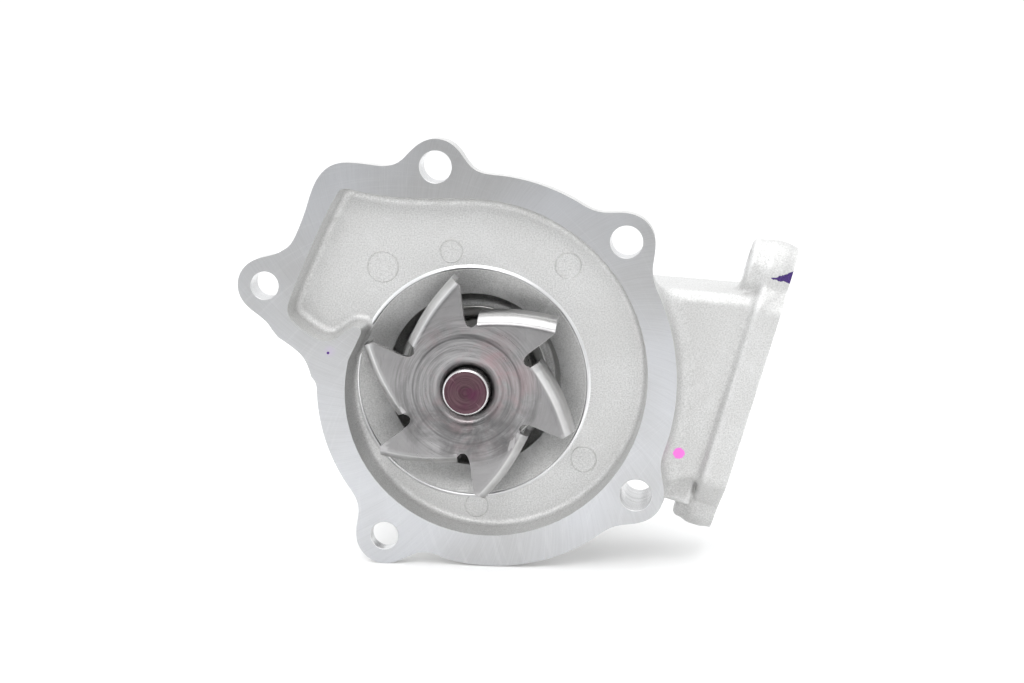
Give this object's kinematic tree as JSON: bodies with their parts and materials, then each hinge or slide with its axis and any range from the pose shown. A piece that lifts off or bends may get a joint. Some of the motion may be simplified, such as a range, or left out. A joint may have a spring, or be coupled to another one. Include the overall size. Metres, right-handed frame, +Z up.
{
  "type": "water pump",
  "caption": "Engine coolant pump: cast volute housing with a bolted joint face and a side inlet flange, open stamped impeller, face seal, shaft bearing and pulley hub.",
  "frame": {"origin": "where the shaft axis meets the machined joint face of the main flange", "axes": "+Y along the shaft from the impeller to the pulley hub, +X towards the inlet arm, +Z up, square to both"},
  "size_m": [0.1481, 0.0855, 0.1145],
  "materials": {
    "cast_aluminium": "die-cast, fine blasted skin, machined joint faces",
    "stamped_steel": "satin pressed sheet with concentric turning marks",
    "ground_steel": "ground and chamfered",
    "ball_steel": "polished",
    "cage_plastic": "moulded nylon",
    "black_rubber": "moulded rubber",
    "seal_case_steel": "drawn sheet, pale yellow plating",
    "spring_steel": "bright drawn wire",
    "carbon": "lapped carbon graphite",
    "ceramic": "lapped ceramic",
    "plug_metal": "drawn cup plug",
    "hub_steel": "machined sintered steel, oiled"
  },
  "bodies": {
    "housing": {"pump_housing": "cast_aluminium", "bearing_outer_ring": "ground_steel", "bearing_seal_front": "black_rubber", "bearing_seal_rear": "black_rubber", "seal_case": "seal_case_steel", "seal_bellows": "black_rubber", "seal_spring": "spring_steel", "seal_spring_seat": "seal_case_steel", "seal_spring_retainer": "seal_case_steel", "carbon_ring": "carbon", "weep_plug": "plug_metal"},
    "rotor": {"pump_shaft": "ground_steel", "impeller": "stamped_steel", "pulley_hub": "hub_steel", "mating_ring": "ceramic", "mating_ring_boot": "black_rubber", "shaft_slinger": "black_rubber"},
    "front_ball_set": {"front_balls": "ball_steel", "front_ball_cage": "cage_plastic"},
    "rear_ball_set": {"rear_balls": "ball_steel", "rear_ball_cage": "cage_plastic"}
  },
  "joints": [
    {"name": "shaft_spin", "type": "hinge", "parent": "housing", "child": "rotor", "pos_m": [0, 0, 0], "axis": [0, -1, 0], "continuous": true},
    {"name": "front_row_spin", "type": "hinge", "parent": "housing", "child": "front_ball_set", "pos_m": [0, 0.0385, 0], "axis": [0, -1, 0], "continuous": true},
    {"name": "rear_row_spin", "type": "hinge", "parent": "housing", "child": "rear_ball_set", "pos_m": [0, 0.0575, 0], "axis": [0, -1, 0], "continuous": true}
  ],
  "couplings": [
    {"joint": "front_row_spin", "follows": "shaft_spin", "ratio": 0.3587},
    {"joint": "rear_row_spin", "follows": "shaft_spin", "ratio": 0.3587}
  ]
}
